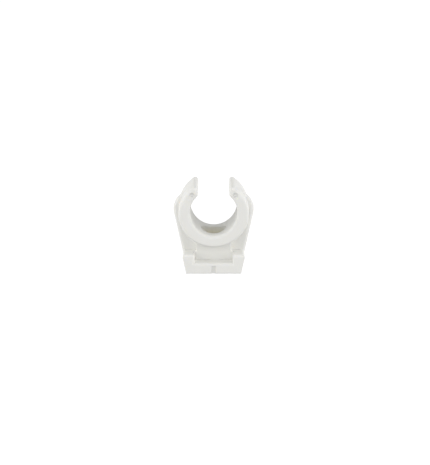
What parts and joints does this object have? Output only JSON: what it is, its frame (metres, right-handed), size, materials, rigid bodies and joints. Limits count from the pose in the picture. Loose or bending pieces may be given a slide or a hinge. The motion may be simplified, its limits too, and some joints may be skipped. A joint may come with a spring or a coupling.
{
  "type": "pipe clip",
  "caption": "Open snap-in clip that holds a 15 mm pipe off a wall, moulded as a single piece, with a cored foot and a counterbored screw hole.",
  "frame": {"origin": "centre of the foot's underside, where the screw hole's axis meets the wall", "axes": "+Z away from the wall along the screw hole, Y along the pipe, X across the clip"},
  "size_m": [0.0258, 0.0156, 0.0285],
  "materials": {
    "clip_plastic": "satin, milky natural white"
  },
  "bodies": {
    "root": {"pipe_clip": "clip_plastic"}
  },
  "joints": []
}
